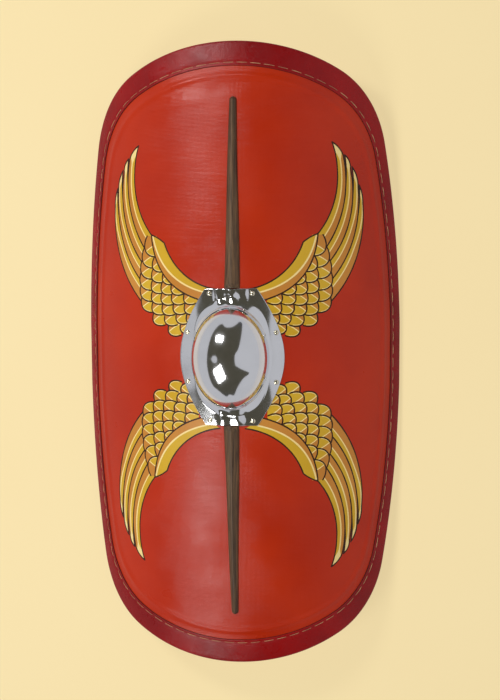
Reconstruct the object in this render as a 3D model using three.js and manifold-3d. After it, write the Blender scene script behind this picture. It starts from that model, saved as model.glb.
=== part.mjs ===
// A curved wooden shield with a stitched leather rim, a steel boss and two wooden spines.
// It lies face up on its two long edges. X is its width, +Y points to its top, +Z is up.
import * as THREE from 'three';
import { mergeVertices } from 'three/addons/utils/BufferGeometryUtils.js';
import Module from 'manifold-3d';

// Board, measured along its painted face, in millimetres
const boardLength = 1180;
const boardArcWidth = 704;
const boardThickness = 8;
const archRadius = 420;
const endArcRadius = 454;
const cornerRadius = 194;
const sideArcRadius = 1912;
const restFlatLength = 120;

// Leather folded over the rim
const leatherThickness = 2.5;
const edgingEndWidth = 45;
const edgingSideWidth = 26;

// Boss: a domed plate, a little left of and above the middle of the board
const bossOffsetX = -2;
const bossOffsetY = 4;
const plateThickness = 1.5;
const plateLength = 260;
const plateWidth = 202;
const plateEndWidth = 100;
const plateShoulderWidth = 164;
const plateShoulderDistance = 82;
const plateSideFlatness = 40;
const domeLength = 197;
const domeWidth = 145;
const domeHeight = 72;
const domeWall = 1.5;
const domeFullness = 0.9;

// Hand hole under the dome
const handHoleLength = 172;
const handHoleWidth = 122;

// Rivets through the plate and the board
const rivetShankDiameter = 4;
const rivetHeadDiameter = 9.5;
const rivetHeadHeight = 3.2;
const rivetTailDiameter = 7;
const rivetTailHeight = 1.6;
const endRivetSpacing = 82;
const endRivetInset = 9;
const sideRivetSpacing = 94;
const sideRivetWidth = 171;

// Spines
const spineFootWidth = 30;
const spineTipWidth = 13;
const spineFootHeight = 13;
const spineTipHeight = 9;
const spineBevelLength = 10;
const spineBevelHeight = 4;
const spinePlateGap = 1;
const spineTipTurn = 1.386;
const upperSpineTipDistance = 489;
const upperSpineTipOffset = 4.5;
const upperSpineFootOffset = 0.5;
const lowerSpineTipDistance = 494;
const lowerSpineTipOffset = 2;
const lowerSpineFootOffset = -2.5;

// Hand grip on the back
const gripLength = 244;
const gripWidth = 28;
const gripEndWidth = 40;
const gripDepth = 22;
const gripSetBackDepth = 17;
const gripHandShare = 0.35;
const gripPadShare = 0.7;
const gripNailSpacing = 200;
const gripNailCoverThickness = 2;

const seatGap = 0.3;

// How finely curves are divided
const staveCount = 26;
const endArcSteps = 5;
const cornerArcSteps = 7;
const sideArcSteps = 5;
const plateSideSteps = 6;
const roundSteps = 10;
const ovalSteps = 30;
const holeSteps = 8;

const wasm = await Module();
wasm.setup();

// A point on the painted face: s along the curve from the middle, y along the length, lift off the face.
function onArch(s, y, lift) {
  const angle = s / archRadius;
  const radius = archRadius + lift;
  return new THREE.Vector3(radius * Math.sin(angle), y, radius * Math.cos(angle) - archRadius);
}

// A closed body from rings of points with the same count; a ring of one point closes an end.
function bodyFromRings(rings, closed = false) {
  const positions = [];
  const starts = [];
  for (const ring of rings) {
    starts.push(positions.length / 3);
    for (const point of ring) {
      positions.push(point.x, point.y, point.z);
    }
  }
  const indices = [];
  const last = closed ? rings.length : rings.length - 1;
  for (let r = 0; r < last; r += 1) {
    const next = (r + 1) % rings.length;
    const count = Math.max(rings[r].length, rings[next].length);
    for (let i = 0; i < count; i += 1) {
      const j = (i + 1) % count;
      const a = starts[r] + (rings[r].length > 1 ? i : 0);
      const b = starts[r] + (rings[r].length > 1 ? j : 0);
      const c = starts[next] + (rings[next].length > 1 ? j : 0);
      const d = starts[next] + (rings[next].length > 1 ? i : 0);
      if (a !== b) {
        indices.push(a, c, b);
      }
      if (c !== d) {
        indices.push(a, d, c);
      }
    }
  }
  const geometry = new THREE.BufferGeometry();
  geometry.setAttribute('position', new THREE.Float32BufferAttribute(positions, 3));
  geometry.setIndex(indices);
  return geometry;
}

function toSolid(geometry) {
  const bare = geometry.clone();
  bare.deleteAttribute('normal');
  bare.deleteAttribute('uv');
  const merged = mergeVertices(bare, 1e-4);
  const solid = new wasm.Manifold(new wasm.Mesh({
    numProp: 3,
    vertProperties: Float32Array.from(merged.attributes.position.array),
    triVerts: Uint32Array.from(merged.index.array),
  }));
  return solid;
}

function toGeometry(solid) {
  const mesh = solid.getMesh();
  const geometry = new THREE.BufferGeometry();
  geometry.setAttribute('position', new THREE.Float32BufferAttribute(mesh.vertProperties, 3));
  geometry.setIndex(new THREE.Uint32BufferAttribute(mesh.triVerts, 1));
  geometry.computeVertexNormals();
  return geometry;
}

// A long arch of flat staves between two lifts off the painted face.
function archShell(lowLift, highLift) {
  const halfAngle = (boardArcWidth / 2 + edgingSideWidth) / archRadius;
  const shape = new THREE.Shape();
  for (let i = 0; i <= staveCount; i += 1) {
    const angle = halfAngle * (2 * i / staveCount - 1);
    const radius = archRadius + highLift;
    const x = radius * Math.sin(angle);
    const z = radius * Math.cos(angle) - archRadius;
    if (i === 0) {
      shape.moveTo(x, z);
    } else {
      shape.lineTo(x, z);
    }
  }
  for (let i = staveCount; i >= 0; i -= 1) {
    const angle = halfAngle * (2 * i / staveCount - 1);
    const radius = archRadius + lowLift;
    shape.lineTo(radius * Math.sin(angle), radius * Math.cos(angle) - archRadius);
  }
  const length = boardLength + 2 * edgingEndWidth;
  const geometry = new THREE.ExtrudeGeometry(shape, { depth: length, bevelEnabled: false, steps: 1 });
  geometry.rotateX(Math.PI / 2);
  geometry.translate(0, length / 2, 0);
  return toSolid(geometry);
}

// A plug with radial walls through an outline on the painted face, domed so that it spans the arch.
function radialPlug(outline, lowLift, highLift) {
  const centre = new THREE.Vector2();
  for (const point of outline) {
    centre.addScaledVector(point, 1 / outline.length);
  }
  const ring = (share, lift) => outline.map((point) => {
    const inside = centre.clone().lerp(point, share);
    return onArch(inside.x, inside.y, lift);
  });
  const shares = [0.25, 0.5, 0.75, 1];
  const rings = [[onArch(centre.x, centre.y, highLift)]];
  for (const share of shares) {
    rings.push(ring(share, highLift));
  }
  for (const share of shares.slice().reverse()) {
    rings.push(ring(share, lowLift));
  }
  rings.push([onArch(centre.x, centre.y, lowLift)]);
  return toSolid(bodyFromRings(rings));
}

// Points of a circular arc from one angle to another, the last one left out.
function arcPoints(centre, radius, from, to, steps) {
  const points = [];
  for (let i = 0; i < steps; i += 1) {
    const angle = from + (to - from) * i / steps;
    points.push(new THREE.Vector2(centre.x + radius * Math.cos(angle), centre.y + radius * Math.sin(angle)));
  }
  return points;
}

// A quarter outline, from (0, top) round to (side, 0), mirrored to the whole, counter-clockwise.
function mirrorQuarter(quarter) {
  const right = quarter.slice().reverse();
  const upperLeft = quarter.slice(1).map((point) => new THREE.Vector2(-point.x, point.y));
  const upper = right.concat(upperLeft);
  const lower = upper.slice().reverse().map((point) => new THREE.Vector2(point.x, -point.y));
  const all = upper.concat(lower);
  return all.filter((point, index) => {
    const before = all[(index + all.length - 1) % all.length];
    return point.distanceTo(before) > 1e-6;
  });
}

// The board's outline: an end arc, a corner arc and a side arc, tangent to each other, and a short
// straight stretch in the middle of each side, on which the shield lies still.
function rimOutline() {
  const halfLength = boardLength / 2;
  const halfGirth = boardArcWidth / 2;
  const flat = restFlatLength / 2;
  const endCentre = new THREE.Vector2(0, halfLength - endArcRadius);
  const sideCentre = new THREE.Vector2(halfGirth - Math.sqrt(sideArcRadius ** 2 - flat ** 2), 0);
  const toEnd = endArcRadius - cornerRadius;
  const toSide = sideArcRadius - cornerRadius;
  const between = endCentre.clone().sub(sideCentre);
  const span = between.length();
  const along = (toSide ** 2 - toEnd ** 2 + span ** 2) / (2 * span);
  const across = Math.sqrt(toSide ** 2 - along ** 2);
  const unit = between.clone().normalize();
  const cornerCentre = sideCentre.clone().addScaledVector(unit, along);
  cornerCentre.add(new THREE.Vector2(-unit.y, unit.x).multiplyScalar(across));
  const endAngle = cornerCentre.clone().sub(endCentre).angle();
  const sideAngle = cornerCentre.clone().sub(sideCentre).angle();
  const flatAngle = Math.asin(flat / sideArcRadius);
  const quarter = arcPoints(endCentre, endArcRadius, Math.PI / 2, endAngle, endArcSteps);
  quarter.push(...arcPoints(cornerCentre, cornerRadius, endAngle, sideAngle, cornerArcSteps));
  quarter.push(...arcPoints(sideCentre, sideArcRadius, sideAngle, flatAngle, sideArcSteps));
  quarter.push(new THREE.Vector2(halfGirth, flat));
  return mirrorQuarter(quarter);
}

// The rim outline drawn in by one width at the sides and another at the ends.
function insetRim(atSides, atEnds) {
  const shareX = 1 - 2 * atSides / boardArcWidth;
  const shareY = 1 - 2 * atEnds / boardLength;
  return rimOutline().map((point) => new THREE.Vector2(point.x * shareX, point.y * shareY));
}

// Where a point of the boss lies on the board.
function bossPlace(x, y) {
  return new THREE.Vector2(x + bossOffsetX, y + bossOffsetY);
}

// The plate's outline: straight ends, and sides that slant out from them and bow.
function plateOutline() {
  const side = new THREE.CubicBezierCurve(
    new THREE.Vector2(plateEndWidth / 2, plateLength / 2),
    new THREE.Vector2(plateShoulderWidth / 2, plateShoulderDistance),
    new THREE.Vector2(plateWidth / 2, plateSideFlatness),
    new THREE.Vector2(plateWidth / 2, 0),
  );
  const quarter = [new THREE.Vector2(0, plateLength / 2), ...side.getPoints(plateSideSteps)];
  return mirrorQuarter(quarter).map((point) => bossPlace(point.x, point.y));
}

function ellipseOutline(width, length, steps) {
  const points = [];
  for (let i = 0; i < steps; i += 1) {
    const angle = 2 * Math.PI * i / steps;
    points.push(bossPlace(width / 2 * Math.cos(angle), length / 2 * Math.sin(angle)));
  }
  return points;
}

// A half egg over an ellipse, standing on a straight foot that reaches down to a given lift.
function domeBody(shrink, footLift) {
  const heightSteps = 7;
  const centre = bossPlace(0, 0);
  const foot = ellipseOutline(domeWidth - 2 * shrink, domeLength - 2 * shrink, ovalSteps);
  const rings = [[onArch(bossOffsetX, bossOffsetY, plateThickness + domeHeight - shrink)]];
  for (let k = 1; k <= heightSteps; k += 1) {
    const turn = Math.PI / 2 * k / heightSteps;
    const share = Math.sin(turn);
    const lift = plateThickness + (domeHeight - shrink) * Math.cos(turn) ** domeFullness;
    const outline = foot.map((point) => centre.clone().lerp(point, share));
    rings.push(outline.map((point) => onArch(point.x, point.y, lift)));
  }
  rings.push(foot.map((point) => onArch(point.x, point.y, footLift)));
  rings.push([onArch(bossOffsetX, bossOffsetY, footLift)]);
  return toSolid(bodyFromRings(rings));
}

// Turns a geometry built around +Z so that it stands on the painted face at (s, y).
function standOnArch(geometry, s, y) {
  geometry.rotateY(s / archRadius);
  const place = onArch(s, y, 0);
  geometry.translate(place.x, place.y, place.z);
  return geometry;
}

// A round plug across the face, from one lift to another.
function roundPlug(diameter, s, y, lowLift, highLift) {
  const height = highLift - lowLift;
  const plug = new THREE.CylinderGeometry(diameter / 2, diameter / 2, height, holeSteps);
  plug.rotateX(Math.PI / 2);
  plug.translate(0, 0, (lowLift + highLift) / 2);
  return toSolid(standOnArch(plug, s, y));
}

// The rivets' places: two at each end and two on each side of the plate.
function rivetPlaces() {
  const endX = endRivetSpacing / 2;
  const endY = plateLength / 2 - endRivetInset;
  const sideX = sideRivetWidth / 2;
  const sideY = sideRivetSpacing / 2;
  const upper = [[-endX, endY], [endX, endY], [-sideX, sideY], [sideX, sideY]];
  const lower = upper.slice().reverse().map(([x, y]) => [-x, -y]);
  return upper.concat(lower).map(([x, y]) => bossPlace(x, y));
}

// The grip nails run straight up, from behind the bar to short of the painted face.
function gripNailSpans() {
  return [-1, 1].map((side) => {
    const place = bossPlace(side * gripNailSpacing / 2, 0);
    const face = Math.sqrt(archRadius ** 2 - place.x ** 2) - archRadius;
    const low = -gripSetBackDepth - gripDepth - seatGap;
    return { x: place.x, y: place.y, low, high: face - gripNailCoverThickness };
  });
}

// The holes that the grip nails need, up through the bar and into the board.
function gripNailHoles() {
  return gripNailSpans().map((span) => {
    const low = span.low - gripDepth;
    const high = span.high + seatGap;
    const radius = rivetShankDiameter / 2 + seatGap;
    const plug = new THREE.CylinderGeometry(radius, radius, high - low, holeSteps);
    plug.rotateX(Math.PI / 2);
    plug.translate(span.x, span.y, (low + high) / 2);
    return toSolid(plug);
  });
}

function makeBoard() {
  const inset = leatherThickness + seatGap;
  let board = archShell(-boardThickness, 0).intersect(
    radialPlug(insetRim(inset, inset), -3 * boardThickness, 3 * boardThickness),
  );
  const hole = ellipseOutline(handHoleWidth, handHoleLength, ovalSteps);
  board = board.subtract(radialPlug(hole, -3 * boardThickness, 3 * boardThickness));
  for (const place of rivetPlaces()) {
    const shankHole = rivetShankDiameter + 2 * seatGap;
    board = board.subtract(roundPlug(shankHole, place.x, place.y, -2 * boardThickness, boardThickness));
  }
  for (const hole of gripNailHoles()) {
    board = board.subtract(hole);
  }
  return board;
}

function makeEdging() {
  const reach = boardThickness + leatherThickness;
  const whole = radialPlug(rimOutline(), -3 * reach, 3 * reach);
  const opening = radialPlug(insetRim(edgingSideWidth, edgingEndWidth), -3 * reach, 3 * reach);
  const fold = radialPlug(insetRim(leatherThickness, leatherThickness), -3 * reach, 3 * reach);
  const core = archShell(-boardThickness - seatGap, seatGap).intersect(fold);
  return archShell(-reach, leatherThickness).intersect(whole).subtract(opening).subtract(core);
}

function makeBoss() {
  const reach = 3 * plateThickness;
  const sheet = archShell(seatGap, seatGap + plateThickness);
  const plate = sheet.intersect(radialPlug(plateOutline(), -reach, 2 * reach));
  let boss = plate.add(domeBody(0, seatGap + plateThickness / 2));
  boss = boss.subtract(domeBody(domeWall, -boardThickness));
  for (const place of rivetPlaces()) {
    const shankHole = rivetShankDiameter + 2 * seatGap;
    boss = boss.subtract(roundPlug(shankHole, place.x, place.y, -boardThickness, boardThickness));
  }
  return boss;
}

// A rivet: domed head above the plate, shank through the board, small hammered tail behind it.
function rivetGeometry() {
  const headSeat = seatGap + plateThickness + seatGap;
  const tailSeat = -boardThickness - 2 * seatGap;
  const shank = rivetShankDiameter / 2;
  const profile = [new THREE.Vector2(0, tailSeat - rivetTailHeight)];
  profile.push(new THREE.Vector2(shank, tailSeat - rivetTailHeight));
  profile.push(new THREE.Vector2(rivetTailDiameter / 2, tailSeat));
  profile.push(new THREE.Vector2(shank, tailSeat));
  profile.push(new THREE.Vector2(shank, headSeat));
  profile.push(...domedHead(headSeat));
  const rivet = new THREE.LatheGeometry(profile, roundSteps);
  rivet.rotateX(Math.PI / 2);
  return rivet;
}

// Half profile of a domed head, from its rim up to the axis.
function domedHead(seat) {
  const points = [];
  const steps = 3;
  for (let i = 0; i <= steps; i += 1) {
    const turn = Math.PI / 2 * i / steps;
    const radius = i === steps ? 0 : rivetHeadDiameter / 2 * Math.cos(turn);
    points.push(new THREE.Vector2(radius, seat + rivetHeadHeight * Math.sin(turn)));
  }
  return points;
}

// A grip nail: its domed head lies behind the bar and its shank stops inside the board.
function gripNailGeometry(span) {
  const shank = rivetShankDiameter / 2;
  const profile = [
    new THREE.Vector2(0, -span.high),
    new THREE.Vector2(shank, -span.high),
    new THREE.Vector2(shank, -span.low),
    ...domedHead(-span.low),
  ];
  const nail = new THREE.LatheGeometry(profile, roundSteps);
  nail.rotateX(-Math.PI / 2);
  nail.translate(span.x, span.y, 0);
  return nail;
}

// A spine: an arched section that widens towards the boss, with a rounded tip and a bevelled foot.
function makeSpine(tip, footX) {
  const side = Math.sign(tip.y);
  const footY = bossOffsetY + side * (plateLength / 2 + spinePlateGap);
  const length = Math.abs(tip.y - footY);
  const tipRound = spineTipWidth / 2;
  const stations = [];
  for (let i = 0; i <= 3; i += 1) {
    stations.push(spineBevelLength * i / 3);
  }
  for (let i = 1; i <= 4; i += 1) {
    stations.push(spineBevelLength + (length - spineBevelLength - tipRound) * i / 4);
  }
  for (let i = 1; i <= 3; i += 1) {
    stations.push(length - tipRound + tipRound * Math.sin(spineTipTurn * i / 3));
  }
  const rings = stations.map((station) => spineRing(tip, footX, footY, length, station));
  rings.unshift([middleOf(rings[0])]);
  rings.push([middleOf(rings[rings.length - 1])]);
  const body = bodyFromRings(side > 0 ? rings : rings.reverse());
  return toSolid(body).subtract(archShell(-3 * boardThickness, seatGap));
}

function middleOf(ring) {
  const middle = new THREE.Vector3();
  for (const point of ring) {
    middle.addScaledVector(point, 1 / ring.length);
  }
  return middle;
}

// One section of a spine, at a distance from its foot.
function spineRing(tip, footX, footY, length, station) {
  const share = station / length;
  const tipRound = spineTipWidth / 2;
  const intoTip = Math.max(0, station - (length - tipRound)) / tipRound;
  const rounding = Math.sqrt(1 - intoTip ** 2);
  const halfWidth = (spineFootWidth + (spineTipWidth - spineFootWidth) * share) / 2 * rounding;
  const bevel = Math.min(1, station / spineBevelLength);
  const fullHeight = spineFootHeight + (spineTipHeight - spineFootHeight) * share;
  const height = (spineBevelHeight + (fullHeight - spineBevelHeight) * Math.sqrt(bevel)) * rounding;
  const middleX = footX + (tip.x - footX) * share;
  const y = footY + (tip.y - footY) * share;
  const points = [];
  for (let i = 0; i <= roundSteps; i += 1) {
    const turn = Math.PI * i / roundSteps;
    points.push(new THREE.Vector3(middleX + halfWidth * Math.cos(turn), y, height * Math.sin(turn)));
  }
  points.push(new THREE.Vector3(middleX - halfWidth, y, -boardThickness / 4));
  points.push(new THREE.Vector3(middleX + halfWidth, y, -boardThickness / 4));
  return points;
}

// The grip: a straight bar, oval in the hand and broad at the ends, hollowed to sit on the back.
function makeGrip() {
  const sections = 14;
  const rings = [];
  for (let i = 0; i <= sections; i += 1) {
    rings.push(gripRing(1 - 2 * i / sections));
  }
  rings.unshift([middleOf(rings[0])]);
  rings.push([middleOf(rings[rings.length - 1])]);
  let grip = toSolid(bodyFromRings(rings));
  grip = grip.subtract(archShell(-boardThickness - seatGap, 2 * boardThickness));
  for (const hole of gripNailHoles()) {
    grip = grip.subtract(hole);
  }
  return grip;
}

// One section of the grip, at a share of its half length: oval in the middle, flat-backed at the ends.
function gripRing(share) {
  const smooth = THREE.MathUtils.smoothstep(Math.abs(share), gripHandShare, gripPadShare);
  const halfWidth = (gripWidth + (gripEndWidth - gripWidth) * smooth) / 2;
  const power = 1 - 0.5 * smooth;
  const squareness = 1 + 0.3 * smooth;
  const points = [];
  const steps = 16;
  for (let i = 0; i < steps; i += 1) {
    const turn = 2 * Math.PI * i / steps;
    const across = Math.sign(Math.cos(turn)) * Math.abs(Math.cos(turn)) ** power * halfWidth;
    const rise = Math.sign(Math.sin(turn)) * Math.abs(Math.sin(turn)) ** power * squareness;
    const up = THREE.MathUtils.clamp(rise, -1, 1) * gripDepth / 2;
    points.push(new THREE.Vector3(
      bossOffsetX + share * gripLength / 2,
      bossOffsetY + across,
      up - gripSetBackDepth - gripDepth / 2,
    ));
  }
  return points;
}

const paintedWood = { color: 0xb0301a, roughness: 0.42, metalness: 0 };
const redLeather = { color: 0x7d1418, roughness: 0.5, metalness: 0 };
const polishedSteel = { color: 0xc9ccd0, roughness: 0.08, metalness: 1 };
const rivetSteel = { color: 0xc4b48a, roughness: 0.25, metalness: 1 };
const brownWood = { color: 0x5c4a34, roughness: 0.6, metalness: 0 };
const paleWood = { color: 0x9a7447, roughness: 0.65, metalness: 0 };

const shield = new THREE.Group();

function addPiece(name, geometry, finish) {
  const piece = new THREE.Mesh(geometry, new THREE.MeshStandardMaterial(finish));
  piece.name = name;
  shield.add(piece);
  return piece;
}

addPiece('board', toGeometry(makeBoard()), paintedWood);
addPiece('edging', toGeometry(makeEdging()), redLeather);
addPiece('boss', toGeometry(makeBoss()), polishedSteel);
const upperTip = new THREE.Vector2(upperSpineTipOffset, upperSpineTipDistance);
const lowerTip = new THREE.Vector2(lowerSpineTipOffset, -lowerSpineTipDistance);
addPiece('spine_upper', toGeometry(makeSpine(upperTip, upperSpineFootOffset)), brownWood);
addPiece('spine_lower', toGeometry(makeSpine(lowerTip, lowerSpineFootOffset)), brownWood);
addPiece('hand_grip', toGeometry(makeGrip()), paleWood);
rivetPlaces().forEach((place, index) => {
  addPiece(`rivet_${index + 1}`, standOnArch(rivetGeometry(), place.x, place.y), rivetSteel);
});
gripNailSpans().forEach((span) => {
  const side = span.x < bossOffsetX ? 'left' : 'right';
  addPiece(`grip_nail_${side}`, gripNailGeometry(span), rivetSteel);
});

// The shield stands on the floor plane by its lowest points.
shield.position.z = -new THREE.Box3().setFromObject(shield).min.z;

export default shield;
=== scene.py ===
import math
import bpy
import numpy as np
from mathutils import Matrix, Vector
from mathutils.geometry import delaunay_2d_cdt


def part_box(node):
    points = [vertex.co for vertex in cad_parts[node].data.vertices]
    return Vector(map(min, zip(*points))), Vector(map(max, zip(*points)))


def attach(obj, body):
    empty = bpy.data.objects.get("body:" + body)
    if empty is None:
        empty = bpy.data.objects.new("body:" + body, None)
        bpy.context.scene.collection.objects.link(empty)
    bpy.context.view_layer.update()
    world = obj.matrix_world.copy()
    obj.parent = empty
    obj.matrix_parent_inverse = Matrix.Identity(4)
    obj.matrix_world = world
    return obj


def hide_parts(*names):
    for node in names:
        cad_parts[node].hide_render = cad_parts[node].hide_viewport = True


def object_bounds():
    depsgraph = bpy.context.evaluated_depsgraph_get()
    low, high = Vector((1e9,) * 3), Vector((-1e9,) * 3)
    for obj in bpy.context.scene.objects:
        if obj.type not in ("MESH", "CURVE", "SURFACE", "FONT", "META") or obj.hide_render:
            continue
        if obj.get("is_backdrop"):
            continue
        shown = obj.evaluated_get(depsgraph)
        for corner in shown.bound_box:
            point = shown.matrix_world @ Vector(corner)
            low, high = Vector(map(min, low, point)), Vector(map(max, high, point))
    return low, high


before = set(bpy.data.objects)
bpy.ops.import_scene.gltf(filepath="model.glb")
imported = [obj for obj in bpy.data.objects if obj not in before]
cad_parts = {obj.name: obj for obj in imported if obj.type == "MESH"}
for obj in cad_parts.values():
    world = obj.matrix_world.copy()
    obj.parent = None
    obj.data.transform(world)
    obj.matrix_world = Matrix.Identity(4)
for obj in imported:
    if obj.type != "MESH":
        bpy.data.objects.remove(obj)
cadBox = [list(corner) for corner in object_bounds()]
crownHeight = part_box("board")[1].z
mm = 0.001

# The board's outline and arch, measured along the painted face, in millimetres
shieldForm = {
    "halfLength": 590.0,
    "halfWidth": 352.0,
    "archRadius": 420.0,
    "endArc": 454.0,
    "cornerArc": 194.0,
    "sideArc": 1912.0,
    "restFlat": 60.0,  # half of the straight stretch on each side
    "thickness": 8.0,
    # how deep a line lies inside the rim at the ends, and the same line at the sides
    "insetAtEnds": (0, 6, 32, 45, 145),
    "insetAtSides": (0, 6, 13, 26, 126),
}
bossCentre = np.array([-2.0, 4.0])  # the boss's middle on the face


def report(stage):
    # one line of progress
    print("shield:", stage)


def onArch(flat, lift):
    # (s, y) along the curved face and a lift off it become x, y, z in metres, face up:
    # x is the lifted radius times the sine of s over the arch's radius, and z the same with the cosine
    radius = shieldForm["archRadius"] + lift
    angle = flat[..., 0] / shieldForm["archRadius"]
    x = radius * np.sin(angle)
    z = radius * np.cos(angle) - shieldForm["archRadius"]
    return np.stack([x * mm, flat[..., 1] * mm + 0 * x, z * mm + crownHeight], -1)


def smoothStep(low, high, value):
    # rises from 0 at low to 1 at high, level at both ends: three t squared less two t cubed
    t = np.clip((value - low) / (high - low), 0, 1)
    return t * t * (3 - 2 * t)


def ripple(x, y, seed):
    # three crossed sine waves of unlike lengths: an uneven surface between -1 and 1, the same each time
    a = np.sin(x + 1.7 * seed) * np.cos(0.83 * y - seed)
    b = np.sin(0.61 * x - 1.37 * y + 2.1 * seed)
    c = np.cos(1.93 * x + 0.47 * y + 0.9 * seed)
    return (a + b + 0.6 * c) / 2.6


def pathLengths(path):
    # the distance along a path at each of its points: the running sum of its steps
    return np.concatenate([[0], np.cumsum(np.hypot(*np.diff(path, axis=0).T))])


def pointsAlong(path, lengths, stations):
    # the points of a path at these distances along it
    return np.stack([np.interp(stations, lengths, path[:, k]) for k in (0, 1)], -1)


def rimOutline(count):
    # a short straight, a side arc, a corner arc and an end arc that run into each other, mirrored to four
    # quarters, then spaced evenly along the whole length
    f = shieldForm
    endCentre = np.array([0.0, f["halfLength"] - f["endArc"]])
    sideX = f["halfWidth"] - math.sqrt(f["sideArc"] ** 2 - f["restFlat"] ** 2)
    sideCentre = np.array([sideX, 0.0])
    toEnd = f["endArc"] - f["cornerArc"]
    toSide = f["sideArc"] - f["cornerArc"]
    between = endCentre - sideCentre
    span = np.hypot(*between)
    along = (toSide**2 - toEnd**2 + span**2) / (2 * span)
    across = math.sqrt(toSide**2 - along**2)
    unit = between / span
    corner = sideCentre + unit * along + np.array([-unit[1], unit[0]]) * across
    endTurn = math.atan2(*(corner - endCentre)[::-1])
    sideTurn = math.atan2(*(corner - sideCentre)[::-1])
    flatTurn = math.asin(f["restFlat"] / f["sideArc"])

    def arc(centre, radius, fromTurn, toTurn, steps=400):
        turn = np.linspace(fromTurn, toTurn, steps)
        return centre + radius * np.stack([np.cos(turn), np.sin(turn)], -1)

    side = arc(sideCentre, f["sideArc"], flatTurn, sideTurn)
    bend = arc(corner, f["cornerArc"], sideTurn, endTurn)
    end = arc(endCentre, f["endArc"], endTurn, math.pi / 2)
    quarter = np.concatenate([[[f["halfWidth"], 0.0]], side, bend, end])
    left = quarter[::-1] * [-1, 1]
    lower = np.concatenate([quarter, left])[::-1] * [1, -1]
    whole = np.concatenate([quarter, left, lower])
    lengths = pathLengths(whole)
    return pointsAlong(whole, lengths, np.arange(count) / count * lengths[-1])


def insetRim(rim, depth):
    # the rim drawn in towards the middle, by the depth at the ends and by less at the sides
    atSide = np.interp(depth, shieldForm["insetAtEnds"], shieldForm["insetAtSides"])
    shares = [1 - atSide / shieldForm["halfWidth"], 1 - depth / shieldForm["halfLength"]]
    return rim * np.array(shares)


def makeObject(name, vertices, faces, materials):
    # a smooth-shaded mesh of points in metres and index lists, in the shield's one body
    mesh = bpy.data.meshes.new(name)
    mesh.from_pydata(np.asarray(vertices).reshape(-1, 3).tolist(), [], faces)
    for material in materials:
        mesh.materials.append(material)
    mesh.polygons.foreach_set("use_smooth", [True] * len(mesh.polygons))
    mesh.update()
    piece = bpy.data.objects.new(name, mesh)
    bpy.context.scene.collection.objects.link(piece)
    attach(piece, "root")
    return piece


def gridFaces(rows, columns, closedRows=False):
    # quads between neighbouring rows of points, each row a closed ring, as lists of point numbers
    row = np.arange(rows if closedRows else rows - 1)[:, None] * columns
    nextRow = (row + columns) % (rows * columns)
    column = np.arange(columns)[None, :]
    nextColumn = (column + 1) % columns
    quads = np.stack([row + column, row + nextColumn, nextRow + nextColumn, nextRow + column], -1)
    return quads.reshape(-1, 4).tolist()


def tubeFaces(rows, columns):
    # the quads of a tube of rings, and a flat cap on its first and last ring
    ring = list(range(columns))
    lastRow = (rows - 1) * columns
    return gridFaces(rows, columns) + [ring[::-1], [lastRow + k for k in ring]]


def setUv(piece, name, perVertex):
    # every corner of a face takes its vertex's place on the map
    layer = piece.data.uv_layers.new(name=name)
    corner = np.empty(len(piece.data.loops), int)
    piece.data.loops.foreach_get("vertex_index", corner)
    layer.data.foreach_set("uv", perVertex[corner].astype(np.float32).ravel())


# Materials: small helpers, then effects shared as node groups
class Graph:
    def __init__(self, tree):
        self.tree = tree

    def node(self, kind, settings=None, **inputs):
        # a new node with its settings, and its inputs named by keyword
        made = self.tree.nodes.new(kind)
        for key, value in (settings or {}).items():
            setattr(made, key, value)
        for key, value in inputs.items():
            self.put(made.inputs[key.replace("_", " ")], value)
        return made

    def put(self, socket, value):
        # links an output to the socket, or sets a plain value on it
        if isinstance(value, bpy.types.NodeSocket):
            self.tree.links.new(value, socket)
        else:
            socket.default_value = value

    def math(self, operation, a, b=0.0, c=0.0):
        # one arithmetic step on up to three values
        made = self.node("ShaderNodeMath", {"operation": operation})
        for socket, value in zip(made.inputs, (a, b, c)):
            self.put(socket, value)
        return made.outputs[0]

    def noise(self, vector, scale, detail=4.0, rough=0.55, distortion=0.0):
        # noise in layers, each twice as fine as the last and rough times as strong
        own = {"Scale": scale, "Detail": detail, "Roughness": rough, "Distortion": distortion}
        return self.node("ShaderNodeTexNoise", Vector=vector, **own).outputs["Fac"]

    def ramp(self, value, low, high, outLow=0.0, outHigh=1.0):
        # from outLow at low to outHigh at high, level at both ends
        smooth = {"interpolation_type": "SMOOTHSTEP"}
        limits = {"From Min": low, "From Max": high, "To Min": outLow, "To Max": outHigh}
        return self.node("ShaderNodeMapRange", smooth, Value=value, **limits).outputs["Result"]

    def mix(self, factor, a, b):
        # the colour a, moved towards b by the factor
        made = self.node("ShaderNodeMix", {"data_type": "RGBA"})
        self.put(made.inputs[0], factor)
        self.put(made.inputs[6], a)
        self.put(made.inputs[7], b)
        return made.outputs[2]

    def spot(self):
        # the point's place on the piece, in metres
        return self.node("ShaderNodeTexCoord").outputs["Object"]

    def facePlan(self):
        # the point's place on the unrolled face, in metres
        return self.node("ShaderNodeUVMap", {"uv_map": "facePlan"}).outputs["UV"]

    def relief(self, shader, height, strength, distance):
        # bends the shader's normal by the slopes of a height
        bump = self.node("ShaderNodeBump", Height=height, Strength=strength, Distance=distance)
        self.put(shader.inputs["Normal"], bump.outputs["Normal"])

    def stretched(self, vector, x, y, z):
        # the place multiplied by a number along each axis
        return self.node("ShaderNodeMapping", Vector=vector, Scale=(x, y, z)).outputs["Vector"]


def newGroup(name, inputs, outputs):
    # an empty node group with its named inputs and outputs, ready to be filled
    tree = bpy.data.node_groups.new(name, "ShaderNodeTree")
    for label, kind, value in inputs:
        socket = tree.interface.new_socket(name=label, in_out="INPUT", socket_type=kind)
        if value is not None:
            socket.default_value = value
    for label, kind in outputs:
        tree.interface.new_socket(name=label, in_out="OUTPUT", socket_type=kind)
    graph = Graph(tree)
    return graph, tree.nodes.new("NodeGroupInput").outputs, tree.nodes.new("NodeGroupOutput").inputs


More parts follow.
